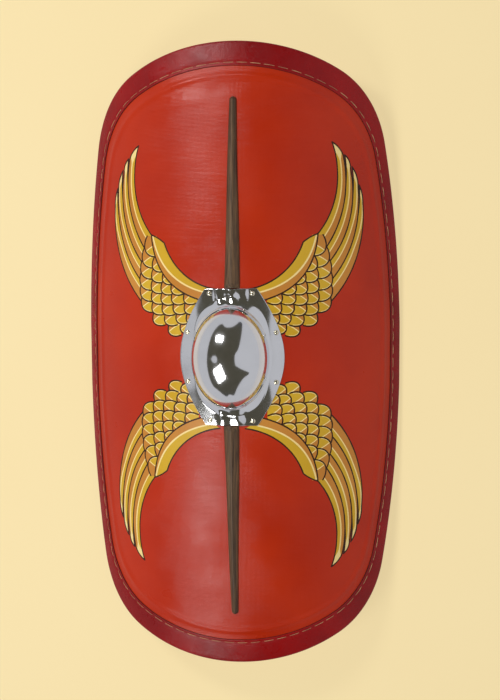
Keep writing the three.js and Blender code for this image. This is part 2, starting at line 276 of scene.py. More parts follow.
def makeWeaveGroup():
    # crossed threads: two sine waves at right angles, uneven by noise
    graph, given, out = newGroup(
        "clothWeave",
        [("Vector", "NodeSocketVector", None), ("Pitch", "NodeSocketFloat", 900.0)],
        [("Height", "NodeSocketFloat"), ("Patch", "NodeSocketFloat")],
    )
    parts = graph.node("ShaderNodeSeparateXYZ", Vector=given["Vector"])
    wobble = graph.math("MULTIPLY", graph.noise(given["Vector"], 60.0, 2.0), 2.5)
    warp = graph.math("SINE", graph.math("MULTIPLY_ADD", parts.outputs["X"], given["Pitch"], wobble))
    weft = graph.math("SINE", graph.math("MULTIPLY_ADD", parts.outputs["Y"], given["Pitch"], wobble))
    crossed = graph.math("MAXIMUM", warp, weft)
    patch = graph.noise(given["Vector"], 9.0, 3.0)
    graph.put(out["Height"], graph.math("MULTIPLY", crossed, graph.ramp(patch, 0.3, 0.7, 0.35, 1.0)))
    graph.put(out["Patch"], patch)
    return graph.tree


def makeWearGroup():
    # broad patches, fine specks and long faint scratches
    graph, given, out = newGroup(
        "handWear",
        [("Vector", "NodeSocketVector", None), ("Scale", "NodeSocketFloat", 10.0)],
        [("Patches", "NodeSocketFloat"), ("Specks", "NodeSocketFloat"), ("Scratches", "NodeSocketFloat")],
    )
    vector = given["Vector"]
    patches = graph.noise(vector, given["Scale"], 5.0, 0.5)
    specks = graph.noise(vector, 420.0, 2.0)
    drawn = graph.stretched(vector, 30.0, 260.0, 60.0)
    fine = graph.noise(drawn, 2.2, 3.0, 0.6, 0.6)
    graph.put(out["Patches"], graph.ramp(patches, 0.3, 0.7))
    graph.put(out["Specks"], graph.ramp(specks, 0.58, 0.74))
    graph.put(out["Scratches"], graph.ramp(fine, 0.6, 0.78))
    return graph.tree


def makeWoodGroup():
    # grain: noise drawn out along Y, darker pores and slow bands
    graph, given, out = newGroup(
        "woodGrain",
        [("Vector", "NodeSocketVector", None), ("Along", "NodeSocketFloat", 6.0)],
        [("Grain", "NodeSocketFloat"), ("Pores", "NodeSocketFloat"), ("Bands", "NodeSocketFloat")],
    )
    parts = graph.node("ShaderNodeSeparateXYZ", Vector=given["Vector"])
    drawn = graph.node("ShaderNodeCombineXYZ", X=graph.math("MULTIPLY", parts.outputs["X"], 120.0))
    graph.put(drawn.inputs["Y"], graph.math("MULTIPLY", parts.outputs["Y"], given["Along"]))
    graph.put(drawn.inputs["Z"], graph.math("MULTIPLY", parts.outputs["Z"], 120.0))
    grain = graph.noise(drawn.outputs[0], 3.0, 6.0, 0.62, 0.35)
    pores = graph.noise(drawn.outputs[0], 14.0, 3.0, 0.5)
    bands = graph.noise(drawn.outputs[0], 0.55, 2.0, 0.5, 0.8)
    graph.put(out["Grain"], graph.ramp(grain, 0.28, 0.72))
    graph.put(out["Pores"], graph.ramp(pores, 0.6, 0.75))
    graph.put(out["Bands"], graph.ramp(bands, 0.35, 0.65))
    return graph.tree


def makeLeatherGroup():
    # pebbled grain from two cell sizes, and creases
    graph, given, out = newGroup(
        "leatherGrain",
        [("Vector", "NodeSocketVector", None), ("Size", "NodeSocketFloat", 420.0)],
        [("Height", "NodeSocketFloat"), ("Creases", "NodeSocketFloat"), ("Patches", "NodeSocketFloat")],
    )
    vector = given["Vector"]
    toEdge = {"feature": "DISTANCE_TO_EDGE"}
    cells = graph.node("ShaderNodeTexVoronoi", toEdge, Vector=vector, Scale=given["Size"])
    creases = graph.noise(vector, 38.0, 6.0, 0.65, 0.5)
    graph.put(out["Height"], graph.ramp(cells.outputs["Distance"], 0.0, 0.25))
    graph.put(out["Creases"], graph.ramp(creases, 0.35, 0.75))
    graph.put(out["Patches"], graph.ramp(graph.noise(vector, 7.0, 4.0), 0.3, 0.7))
    return graph.tree


groups = {
    "weave": makeWeaveGroup(),
    "wear": makeWearGroup(),
    "wood": makeWoodGroup(),
    "leather": makeLeatherGroup(),
}


def newMaterial(name):
    # a material with its node graph and its principled shader
    material = bpy.data.materials.new(name)
    material.use_nodes = True
    graph = Graph(material.node_tree)
    shader = material.node_tree.nodes["Principled BSDF"]
    return material, graph, shader


def place(graph, name, vector, **values):
    # puts a shared group into a material, reads it at the vector's place and returns its outputs
    made = graph.node("ShaderNodeGroup", {"node_tree": groups[name]}, **values)
    graph.put(made.inputs["Vector"], vector)
    return made.outputs


def colour(red, green, blue, factor=1.0):
    # a screen colour of 0 to 255 as linear light
    share = np.array([red, green, blue]) / 255
    linear = np.where(share <= 0.04045, share / 12.92, ((share + 0.055) / 1.055) ** 2.4) * factor
    return (*linear.tolist(), 1.0)


# Each paint: its screen colour, its darker and lighter patches, its roughness and how far the weave shows
paintTones = {
    "fieldRed": ((190, 43, 2), (176, 35, 2), (202, 51, 4), 0.30, 1.6),
    "wingYellow": ((216, 172, 36), (202, 154, 24), (230, 188, 58), 0.34, 0.8),
    "wingOchre": ((204, 134, 50), (190, 118, 38), (218, 152, 68), 0.34, 0.8),
    "wingCream": ((255, 228, 150), (250, 214, 132), (255, 236, 172), 0.36, 0.8),
    "wingLine": ((46, 20, 1), (34, 14, 1), (68, 32, 4), 0.45, 0.8),
}


def paintMaterial(name):
    # brushed paint over canvas: broad tone changes, specks of dirt and the cloth's weave in the gloss
    base, dark, light, roughness, weaveDepth = paintTones[name]
    material, graph, shader = newMaterial(name)
    flat = graph.facePlan()
    wear = place(graph, "wear", flat, Scale=5.0)
    weave = place(graph, "weave", flat, Pitch=2600.0)
    tone = graph.mix(wear["Patches"], colour(*dark), colour(*light))
    tone = graph.mix(0.55, colour(*base), tone)
    tone = graph.mix(graph.math("MULTIPLY", wear["Specks"], 0.12), tone, colour(*dark))
    graph.put(shader.inputs["Base Color"], tone)
    gloss = graph.math("MULTIPLY_ADD", weave["Patch"], 0.16, roughness - 0.08)
    graph.put(shader.inputs["Roughness"], graph.math("MULTIPLY_ADD", wear["Scratches"], 0.08, gloss))
    swell = graph.noise(graph.stretched(flat, 0.35, 1.6, 1.0), 34.0, 4.0, 0.6)
    height = graph.math("MULTIPLY_ADD", swell, 9.0, graph.math("MULTIPLY", weave["Height"], weaveDepth))
    graph.relief(shader, height, 0.45, 0.00015)
    shader.inputs["Specular IOR Level"].default_value = 0.34
    return material


def leatherMaterial(name, light, dark, roughness):
    # grained hide: broad tone changes, creases and pebbles in the gloss
    material, graph, shader = newMaterial(name)
    spot = graph.spot()
    grain = place(graph, "leather", spot, Size=520.0)
    wear = place(graph, "wear", spot, Scale=9.0)
    tone = graph.mix(grain["Patches"], dark, light)
    tone = graph.mix(graph.math("MULTIPLY", wear["Specks"], 0.25), tone, colour(60, 4, 6))
    tone = graph.mix(graph.math("MULTIPLY", grain["Creases"], 0.3), tone, dark)
    graph.put(shader.inputs["Base Color"], tone)
    graph.put(shader.inputs["Roughness"], graph.math("MULTIPLY_ADD", grain["Creases"], 0.16, roughness))
    height = graph.math("MULTIPLY_ADD", grain["Creases"], 2.4, graph.math("MULTIPLY", grain["Height"], 0.6))
    graph.relief(shader, height, 0.6, 0.0002)
    shader.inputs["Specular IOR Level"].default_value = 0.30
    return material


def woodMaterial(name, dark, light, poreColour, roughness, along=6.0, turned=False):
    # drawn-out grain with dark pores, along Y, or along X when turned
    material, graph, shader = newMaterial(name)
    spot = graph.spot()
    if turned:
        quarter = graph.node("ShaderNodeMapping", Vector=spot, Rotation=(0, 0, math.pi / 2))
        spot = quarter.outputs["Vector"]
    grain = place(graph, "wood", spot, Along=along)
    wear = place(graph, "wear", spot, Scale=14.0)
    tone = graph.mix(grain["Grain"], dark, light)
    tone = graph.mix(graph.math("MULTIPLY", grain["Bands"], 0.5), tone, dark)
    tone = graph.mix(graph.math("MULTIPLY", grain["Pores"], 0.7), tone, poreColour)
    graph.put(shader.inputs["Base Color"], tone)
    graph.put(shader.inputs["Roughness"], graph.math("MULTIPLY_ADD", grain["Grain"], 0.2, roughness))
    deep = graph.math("MULTIPLY_ADD", grain["Pores"], -1.0, grain["Grain"])
    height = graph.math("MULTIPLY_ADD", wear["Specks"], -0.3, deep)
    graph.relief(shader, height, 0.5, 0.0004)
    return material


stripWidth = 0.062  # of the veneer on the back, in metres


def stripMaterial():
    # the board's bare back: strips of veneer side by side, each of its own tone, with fine joints
    tones = colour(132, 96, 58), colour(176, 138, 92), colour(96, 64, 36)
    material = woodMaterial("bareVeneer", *tones, 0.5, 2.5)
    graph = Graph(material.node_tree)
    shader = material.node_tree.nodes["Principled BSDF"]
    flat = graph.facePlan()
    parts = graph.node("ShaderNodeSeparateXYZ", Vector=flat)
    stripe = graph.math("DIVIDE", parts.outputs["X"], stripWidth)
    number = graph.math("FLOOR", stripe)
    tone = graph.node("ShaderNodeTexWhiteNoise", {"noise_dimensions": "1D"}, W=number).outputs["Value"]
    edge = graph.math("ABSOLUTE", graph.math("SUBTRACT", graph.math("FRACT", stripe), 0.5))
    joint = graph.ramp(edge, 0.488, 0.497)
    before = shader.inputs["Base Color"].links[0].from_socket
    toned = graph.mix(graph.math("MULTIPLY", tone, 0.45), before, colour(116, 80, 46))
    jointed = graph.mix(graph.math("MULTIPLY", joint, 0.8), toned, colour(46, 30, 18))
    graph.put(shader.inputs["Base Color"], jointed)
    return material


def metalMaterial(name, tint, roughness, scratchDepth):
    # polished sheet: faint haze, hairline scratches and smudges
    material, graph, shader = newMaterial(name)
    spot = graph.spot()
    wear = place(graph, "wear", spot, Scale=22.0)
    dull = (tint[0] * 0.8, tint[1] * 0.8, tint[2] * 0.8, 1.0)
    tone = graph.mix(graph.math("MULTIPLY", wear["Patches"], 0.25), tint, dull)
    graph.put(shader.inputs["Base Color"], tone)
    shader.inputs["Metallic"].default_value = 1.0
    haze = graph.math("MULTIPLY_ADD", wear["Patches"], 0.03, roughness)
    graph.put(shader.inputs["Roughness"], graph.math("MULTIPLY_ADD", wear["Scratches"], 0.05, haze))
    graph.relief(shader, wear["Scratches"], scratchDepth, 0.00004)
    return material


def threadMaterial():
    # waxed linen: light and dark stretches, dirt in specks and a fuzzy surface
    material, graph, shader = newMaterial("linenThread")
    spot = graph.spot()
    wear = place(graph, "wear", spot, Scale=60.0)
    tone = graph.mix(wear["Patches"], colour(164, 100, 74), colour(212, 162, 118))
    graph.put(shader.inputs["Base Color"], graph.mix(wear["Specks"], tone, colour(120, 66, 52)))
    shader.inputs["Roughness"].default_value = 0.7
    fuzz = graph.noise(spot, 900.0, 2.0)
    graph.relief(shader, fuzz, 0.6, 0.0003)
    return material


boardPaints = [paintMaterial(name) for name in paintTones] + [stripMaterial()]
spineTones = colour(54, 36, 20), colour(126, 96, 64), colour(28, 17, 8)
spineWood = woodMaterial("spineWood", *spineTones, 0.42, 5.0)
gripTones = colour(104, 70, 38), colour(158, 116, 70), colour(64, 40, 20)
gripWood = woodMaterial("gripWood", *gripTones, 0.42, 5.0, True)
redLeather = leatherMaterial("redLeather", colour(160, 12, 13), colour(130, 4, 9), 0.26)
# a darker leather for the raw cut edges, which also paints the shade in the crevice along the edging's
# inner edge
cutEdgeAndPaintedShade = leatherMaterial("cutEdgeAndPaintedShade", colour(64, 12, 12), colour(40, 6, 8), 0.55)
thread = threadMaterial()
steel = metalMaterial("polishedSteel", (0.83, 0.84, 0.86, 1.0), 0.08, 0.2)
rivetMetal = metalMaterial("rivetMetal", (0.80, 0.74, 0.56, 1.0), 0.14, 0.4)
report("materials made")

# The painted wings, laid out for the upper right quarter and mirrored to the others
wing = {
    "lineWidth": 2.8,
    "featherLineWidth": 2.7,
    # each boundary between feathers is an arc: centre s, centre y, radius
    "boundaries": [
        (38.7, 342.3, 164.4),
        (12.5, 332.7, 207.9),
        (38.4, 312.2, 196.9),
        (29.9, 295.9, 218.3),
        (29.6, 270.9, 228.8),
    ],
    # tip s, tip y, where the outer boundary ends, how far the tip side bulges
    "tips": [
        (191.5, 406.0, 382.0, 3.0),
        (217.5, 382.5, 358.0, 3.5),
        (233.0, 361.0, 322.0, 4.0),
        (249.0, 327.0, 292.0, 2.5),
    ],
    "roots": [205.0, 178.0, 146.0, 108.0],
    # the pale stripe in each feather: its share of the width low down and high up, where it shifts,
    # and how high the ochre reaches
    "stripes": [
        (0.50, 0.50, 300, 370, 384),
        (0.46, 0.55, 250, 350, 362),
        (0.46, 0.72, 230, 320, 330),
        (0.42, 0.85, 200, 290, 246),
    ],
    "stripeWidth": 2.8,
    # columns of scales from the outer one inwards: right edge, where it bows out most, bow, first bottom,
    # pitch and count
    "columns": [
        (193.5, 135, 6.2, 194.0, 21.4, 6),
        (166.5, 125, 3.0, 165.0, 20.6, 6),
        (144.5, 122, 9.0, 141.0, 19.7, 6),
        (122.0, 130, 10.0, 121.0, 18.4, 5),
        (95.5, 116, 10.0, 103.5, 19.0, 3),
    ],
    # each column's scale: reach and height of its round corner, rise of the left end, lean and rise of the
    # side
    "scaleForms": [
        (26.0, 20.0, 0.0, 6.5, 20.0),
        (18.0, 13.5, 1.5, 6.0, 16.0),
        (16.0, 13.0, 2.5, 6.0, 16.0),
        (15.0, 12.5, 3.5, 5.5, 15.0),
        (14.0, 12.0, 3.5, 5.5, 15.0),
    ],
    # the pale line across each column's scales: its fall in degrees and the height of its low end
    "scaleLines": [(29.0, 9.5), (33.0, 8.0), (33.0, 7.5), (34.0, 7.0), (37.0, 6.0)],
    "scaleWidth": 28.0,
    "creamWidth": 1.9,
    "rimLightWidth": 1.1,
    # an arc for the band's inner side, and the four points of a Bezier curve for its outer side and stripe
    "bandInner": (10.9, 262.2, 131.0),
    "bandOuter": [(56, 111), (107, 124), (158, 155), (164, 236)],
    "bandStripe": [(48, 126), (100, 137), (146, 166), (160.5, 232)],
    "bandStripeWidth": 3.2,
}


def bezier(points, count=40):
    # a cubic Bezier curve: each of the four points weighted by its Bernstein share along the curve
    p = np.array(points, float)
    t = np.linspace(0, 1, count)[:, None]
    rest = 1 - t
    return rest**3 * p[0] + 3 * rest**2 * t * p[1] + 3 * rest * t**2 * p[2] + t**3 * p[3]


def boundaryAt(arc, y):
    # the right-hand side of a circle at the heights y
    return np.stack([arc[0] + np.sqrt(arc[2] ** 2 - (y - arc[1]) ** 2), y], -1)


def bulged(start, end, bulge, count=12):
    # a straight between two points, pushed out to its right-hand side by a parabola
    t = np.linspace(0, 1, count)[:, None]
    along = end - start
    normal = np.array([along[1], -along[0]]) / np.hypot(*along)
    return start + along * t + normal * bulge * 4 * t * (1 - t)


def strokePolygon(points, width):
    # a brush line along open points: half the width to either side, rounded at both ends, and uneven by
    # a tenth
    points = np.asarray(points, float)
    tangent = np.gradient(points, axis=0)
    tangent /= np.hypot(*tangent.T)[:, None]
    normal = np.stack([-tangent[:, 1], tangent[:, 0]], -1)
    sway = 1 + 0.12 * ripple(points[:, :1] * 0.11, points[:, 1:] * 0.13, 2.0)
    half = width / 2 * sway
    turn = np.linspace(0, math.pi, 6)[1:-1, None]
    head = points[-1] + half[-1] * (np.cos(turn) * normal[-1] + np.sin(turn) * tangent[-1])
    tail = points[0] + half[0] * (-np.cos(turn) * normal[0] - np.sin(turn) * tangent[0])
    return np.concatenate([points + normal * half, head, (points - normal * half)[::-1], tail])


def featherShapes():
    # each feather lies between two arcs that lean into its tip: a yellow body, ochre on one side of the
    # stripe's line, the pale stripe that widens to fill the tip, and three dark lines
    shapes = []
    line = wing["featherLineWidth"]
    for k in (3, 2, 1, 0):  # the outermost first, so that each inner feather lies over the next
        inner, outer = wing["boundaries"][k], wing["boundaries"][k + 1]
        tipS, tipY, shoulderY, bulge = wing["tips"][k]
        tip = np.array([tipS, tipY])
        root = wing["roots"][k]
        # the inner side leans from its arc into the tip over its last stretch
        y = np.linspace(root, tipY, 60)
        left = boundaryAt(inner, y)
        left[:, 0] += (tipS - left[-1, 0]) * smoothStep(tipY - 60, tipY, y)
        yRight = np.linspace(root, shoulderY, 50)
        right = boundaryAt(outer, yRight)
        side = bulged(right[-1], tip, bulge)
        shapes.append((np.concatenate([left, side[::-1][1:], right[::-1][1:]]), "yellow"))
        low, high, shiftFrom, shiftTo, ochreTop = wing["stripes"][k]
        yStripe = np.linspace(root, tipY - 2, 60)
        rightOf = np.interp(yStripe, np.r_[yRight, side[1:, 1]], np.r_[right[:, 0], side[1:, 0]])
        leftOf = np.interp(yStripe, y, left[:, 0])
        share = low + (high - low) * smoothStep(shiftFrom, shiftTo, yStripe)
        middle = leftOf + (rightOf - leftOf) * share
        below = yStripe <= ochreTop
        ochre = np.concatenate([
            np.stack([middle[below], yStripe[below]], -1),
            np.stack([rightOf[below], yStripe[below]], -1)[::-1],
        ])
        shapes.append((ochre, "ochre"))
        # the stripe widens until it fills the whole tip
        fill = smoothStep(tipY - 34, tipY - 12, yStripe)
        half = wing["stripeWidth"] / 2
        stripeLeft = (middle - half) * (1 - fill) + (leftOf + 0.1) * fill
        stripeRight = (middle + half) * (1 - fill) + (rightOf - 0.1) * fill
        stripe = np.concatenate([
            np.stack([stripeLeft, yStripe], -1),
            np.stack([np.maximum(stripeRight, stripeLeft + 0.4), yStripe], -1)[::-1],
        ])
        shapes.append((stripe, "cream"))
        shapes.append((strokePolygon(right, line), "line"))
        shapes.append((strokePolygon(side, line), "line"))
        shapes.append((strokePolygon(left, line), "line"))
    return shapes


def scaleOutline(right, bottom, form):
    # from the upper right down a bowed side, round a quarter of a superellipse, to the raised left end
    reach, drop, leftRise, lean, rise = form
    up = np.linspace(1, 0, 8)[:-1]
    side = np.stack([right - lean * up**2, bottom + drop + rise * up], -1)
    turn = np.linspace(0, math.pi / 2, 14)
    cornerS = right - reach + reach * np.cos(turn) ** 0.9
    corner = np.stack([cornerS, bottom + drop - drop * np.sin(turn) ** 0.9], -1)
    away = np.linspace(0, 1, 6)[1:]
    beyond = wing["scaleWidth"] - reach
    low = np.stack([right - reach - beyond * away, bottom + leftRise * away**2], -1)
    return np.concatenate([side, corner, low])


def scaleShapes():
    # every scale in its columns: a yellow body, ochre above a falling pale line, a thin pale line inside
    # the round edge, and the dark outline
    shapes = []
    most = max(column[5] for column in wing["columns"])
    for row in reversed(range(most)):  # lower rows first, the inner columns over the outer ones
        for k, (edge, bowY, bow, first, pitch, count) in enumerate(wing["columns"]):
            if row >= count:
                continue
            bottom = first - pitch * row
            right = edge - bow * ((bottom + 14 - bowY) / 50) ** 2
            form = wing["scaleForms"][k]
            outline = scaleOutline(right, bottom, form)
            top = bottom + form[1] + form[4]
            body = np.concatenate([outline, [[right - wing["scaleWidth"], top]]])
            shapes.append((body, "yellow"))
            # the pale line ends at the outline's point nearest to its low end's height
            fall, lineTop = wing["scaleLines"][k]
            tooFarLeft = outline[:, 0] < right - 8
            end = outline[np.argmin(np.abs(outline[:, 1] - (bottom + lineTop)) + tooFarLeft * 99)]
            slope = np.array([-math.cos(math.radians(fall)), math.sin(math.radians(fall))])
            start = end + wing["scaleWidth"] * slope
            line = bulged(start, end, -1.2, 7)
            upper = np.concatenate([line, outline[outline[:, 1] > end[1]][::-1], [[start[0], top]]])
            shapes.append((upper, "ochre"))
            heart = np.array([right - 14, bottom + 15])
            rounded = outline[(outline[:, 1] < end[1]) & (outline[:, 0] > right - 25)]
            rimLight = rounded + (heart - rounded) * 0.15
            shapes.append((strokePolygon(rimLight, wing["rimLightWidth"]), "cream"))
            shapes.append((strokePolygon(line, wing["creamWidth"]), "cream"))
            shapes.append((strokePolygon(outline, wing["lineWidth"]), "line"))
    return shapes


def bandShapes():
    # the wing's leading band: an arc inside, a Bezier curve outside, ochre between it and the pale stripe
    line = wing["lineWidth"]
    centreS, centreY, radius = wing["bandInner"]
    turn = np.radians(np.linspace(-84, -18.8, 40))
    inner = np.stack([centreS + radius * np.cos(turn), centreY + radius * np.sin(turn)], -1)
    outer = bezier(wing["bandOuter"])
    stripe = bezier(wing["bandStripe"])
    tip = bulged(inner[-1], outer[-1], -1.5)
    whole = np.concatenate([inner, tip[1:], outer[::-1][1:]])
    ochre = np.concatenate([stripe, outer[::-1]])
    return [
        (whole[::-1], "yellow"),
        (ochre[::-1], "ochre"),
        (strokePolygon(stripe, wing["bandStripeWidth"]), "cream"),
        (strokePolygon(outer, line), "line"),
        (strokePolygon(inner, line), "line"),
        (strokePolygon(tip, line), "line"),
    ]


paints = {"field": 0, "yellow": 1, "ochre": 2, "cream": 3, "line": 4, "bare": 5}  # the board's slots
boardLook = {
    "ringCount": 360,
    "fieldInset": 78.0,  # from here inwards the face is a triangle net that carries the paint
    "netPitch": 11.0,
    "netHalf": (330, 560),  # the grid's reach, before it is cut to the field
    "netFromRing": 5.0,
    "netFromHole": 1.06,  # times the hole's own half axes
    "cutTolerance": 1e-4,
    "beadInset": 62.0,  # the soft raised line inside the edging
    "beadWidth": 5.0,
    "beadHeight": 1.5,
    "levelInset": 60.0,  # from here out to the next the face smooths out, where the edging lies on it
    "borderInset": 46.0,
    "underEdging": (30, 12, 3),
    "backRings": 30,
    "holeHalf": (61.0, 86.0),
    "slowHeight": 0.22,
    # a few short wrinkles near the top, where the cloth was pulled over the end: centre s, centre y,
    # length, lean and height
    "wrinkles": [
        (-70, 494, 70, 0.02, 0.5),
        (-30, 500, 40, 0.10, 0.35),
        (-90, 478, 34, -0.06, 0.35),
        (10, 519, 46, 0.03, 0.45),
        (-62, 512, 30, 0.05, 0.3),
        (-120, 497, 30, 0.12, 0.25),
    ],
    "wrinkleWidth": 2.6,
}


def faceUneven(flat):
    # how far the glued cloth face stands off a true cylinder, in millimetres: a slow ripple, and for each
    # wrinkle a bell across its line, which dies out at its length
    s, y = flat[..., 0], flat[..., 1]
    height = boardLook["slowHeight"] * ripple(s / 46, y / 61, 1.0)
    for centreS, centreY, length, lean, most in boardLook["wrinkles"]:
        across = (y - centreY - lean * (s - centreS)) / boardLook["wrinkleWidth"]
        height = height + most * np.exp(-(across**2) - ((s - centreS) / length) ** 4)
    return height


def outward(points):
    # the painted face's own normal, from its slopes along s and y
    step = 0.5
    slopeS = (faceUneven(points + [step, 0]) - faceUneven(points - [step, 0])) / (2 * step)
    slopeY = (faceUneven(points + [0, step]) - faceUneven(points - [0, step])) / (2 * step)
    turn = points[:, 0] / shieldForm["archRadius"]
    x = np.sin(turn) - slopeS * np.cos(turn)
    z = np.cos(turn) + slopeS * np.sin(turn)
    normal = np.stack([x, -slopeY, z], -1)
    return normal / np.linalg.norm(normal, axis=1)[:, None]


def aroundHole(rim):
    # a point of the hand hole's oval in the same direction as each point of the rim
    direction = rim / [shieldForm["halfWidth"], shieldForm["halfLength"]]
    return bossCentre + direction / np.hypot(*direction.T)[:, None] * boardLook["holeHalf"]


def netPoints(fieldRing):
    # a staggered grid of points, kept inside the field's ring and clear of the hand hole
    pitch = boardLook["netPitch"]
    gridS, gridY = np.meshgrid(*(np.arange(-half, half + 1, pitch) for half in boardLook["netHalf"]))
    gridS = gridS + (np.arange(len(gridS)) % 2)[:, None] * pitch / 2
    net = np.stack([gridS, gridY], -1).reshape(-1, 2)
    ringAngle = np.arctan2(fieldRing[:, 1], fieldRing[:, 0])
    order = np.argsort(ringAngle)
    reach = np.hypot(*fieldRing.T)[order]
    netAngle = np.arctan2(net[:, 1], net[:, 0])
    limit = np.interp(netAngle, ringAngle[order], reach, period=2 * math.pi)
    fromHole = np.hypot(*((net - bossCentre) / boardLook["holeHalf"]).T)
    inside = np.hypot(*net.T) < limit - boardLook["netFromRing"]
    return net[inside & (fromHole > boardLook["netFromHole"])]


def paintShapes():
    # the wing's shapes in all four quarters, each made to run anticlockwise by its signed area
    shapes = []
    for signs in ((1, 1), (-1, 1), (-1, -1), (1, -1)):
        for shape, kind in featherShapes() + scaleShapes() + bandShapes():
            points = shape * signs
            following = np.roll(points, -1, 0)
            area = np.sum(points[:, 0] * following[:, 1] - points[:, 1] * following[:, 0])
            shapes.append((points if area > 0 else points[::-1], kind))
    return shapes


def cutFace(fieldRing, hole):
    # the painted face as triangles: one net cut along the field's ring, the hole and every painted
    # outline; a triangle takes the paint of the last outline around it
    count = len(fieldRing)
    vertices = [fieldRing, hole, netPoints(fieldRing)]
    outlines = [list(range(count)), list(range(count, 2 * count))]
    kinds = ["field", "hole"]
    start = sum(len(points) for points in vertices)
    for points, kind in paintShapes():
        vertices.append(points)
        outlines.append(list(range(start, start + len(points))))
        kinds.append(kind)
        start += len(points)
    given = [Vector(point) for point in np.concatenate(vertices).tolist()]
    cut = delaunay_2d_cdt(given, [], outlines, 0, boardLook["cutTolerance"], True)
    points, _, triangles, sourcesOfPoints, _, sourcesOfTriangles = cut
    faces, slots = [], []
    for face, sources in zip(triangles, sourcesOfTriangles):
        if 0 in sources and 1 not in sources:  # inside the field's ring and outside the hole
            faces.append(list(face))
            slots.append(paints[kinds[max(sources)]])
    made = {source: index for index, sources in enumerate(sourcesOfPoints) for source in sources}
    fieldIndex = [made[k] for k in range(count)]
    holeIndex = [made[count + k] for k in range(count)]
    return np.array([tuple(point) for point in points]), faces, slots, fieldIndex, holeIndex


def setFaceNormals(piece, flat, faceCount):
    # the painted face and its border's first ring keep the curved face's own normals, so that no cut shows
    polygons = piece.data.polygons
    sizes = np.empty(len(polygons), int)
    polygons.foreach_get("loop_total", sizes)
    normals = np.zeros((len(piece.data.loops), 3))
    corner = np.empty(len(normals), int)
    piece.data.loops.foreach_get("vertex_index", corner)
    ofFace = np.repeat(np.arange(len(polygons)), sizes)
    onFront = (corner < len(flat)) & (ofFace < faceCount)
    normals[onFront] = outward(flat[corner[onFront]])
    piece.data.normals_split_custom_set(normals.tolist())


def makeBoard():
    # the cut face, and rings of quads that carry it on under the edging, round the rim and across the back
    look = boardLook
    count = look["ringCount"]
    rim = rimOutline(count)
    fieldRing = insetRim(rim, look["fieldInset"])
    hole = aroundHole(rim)
    flat, faces, slots, fieldIndex, holeIndex = cutFace(fieldRing, hole)
    triangles = len(faces)
    report(f"painted face cut into {triangles} triangles")
    # rings from the field's ring outwards, round the rim and in to the hole
    border = np.linspace(look["fieldInset"], look["borderInset"], 17)[1:]
    depths = np.concatenate([border, look["underEdging"]])
    rings, lifts = [], []
    for depth in depths:
        ring = insetRim(rim, depth)
        bead = look["beadHeight"] * math.exp(-(((depth - look["beadInset"]) / look["beadWidth"]) ** 2))
        rings.append(ring)
        lifts.append(bead + faceUneven(ring) * smoothStep(look["borderInset"], look["levelInset"], depth))
    edge = rings[-1]
    for share in np.linspace(0, 1, look["backRings"]):
        rings.append(edge * (1 - share) + hole * share)
        lifts.append(np.full(count, -shieldForm["thickness"]))
    ringIndex = len(flat) + np.arange(len(rings) * count).reshape(-1, count)
    indexRows = [fieldIndex, *ringIndex.tolist(), holeIndex]
    for k, (inner, outer) in enumerate(zip(indexRows, indexRows[1:])):
        quads = zip(inner, outer, outer[1:] + outer[:1], inner[1:] + inner[:1])
        faces += [list(quad) for quad in quads]
        slots += [paints["field" if k < len(depths) else "bare"]] * count
    face = onArch(flat, faceUneven(flat))
    rest = onArch(np.concatenate(rings), np.concatenate(lifts))
    piece = makeObject("paintedBoard", np.concatenate([face, rest]), faces, boardPaints)
    piece.data.polygons.foreach_set("material_index", slots)
    # the walls at the rim and in the hole are shaded flat
    rimWall = triangles + len(depths) * count
    smooth = np.ones(len(faces), bool)
    smooth[rimWall:rimWall + count] = False
    smooth[-count:] = False
    piece.data.polygons.foreach_set("use_smooth", smooth.tolist())
    setUv(piece, "facePlan", np.concatenate([flat, *rings]) * mm)
    setFaceNormals(piece, flat, triangles + count)
    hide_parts("board")
    return piece


makeBoard()
report("board made")

edgingLook = {
    "stations": 720,
    # the profile's front as depth from the rim and lift off the face: the cut edge, the groove about the
    # stitches' line, and the band; the fold is an ellipse's quarter, and the back mirrors the front
    "cutEdge": [(44.6, 0.1), (45.0, 0.6), (45.0, 1.3), (44.5, 1.9), (43.4, 2.15), (42.0, 2.1)],
    "groove": [(1.2, 1.75), (0.0, 1.6), (-1.2, 1.75), (-3.0, 2.2)],
    "band": [(33.0, 2.4), (28.0, 2.45), (22.0, 2.45), (16.0, 2.4), (11.0, 2.4), (7.0, 2.35)],
    "foldHalf": (3.9, 4.0),
    "inside": [(44.0, -8.1), (3.0, -8.1), (2.7, -7.8), (2.7, -0.2), (3.0, 0.1), (44.0, 0.1)],
    "stitchInset": 39.3,
    "stitchPitch": 25.5,
    "stitchLength": 20.5,
    "stitchHalfWidth": 0.62,
    "stitchHalfHeight": 0.6,
    "stitchLift": 1.75,
    "stitchSides": 8,
    "lengthSpread": 1.6,
    "placeSpread": 0.8,
    # along one stitch: its share of the length, the share of its width, and how far it stands out
    "stitchAlong": [0.0, 0.05, 0.14, 0.3, 0.5, 0.7, 0.86, 0.95, 1.0],
    "stitchTaper": [0.35, 0.75, 0.95, 1.0, 1.0, 1.0, 0.95, 0.75, 0.35],
    "stitchRise": [-0.9, -0.35, 0.15, 0.35, 0.4, 0.35, 0.15, -0.35, -0.9],
}


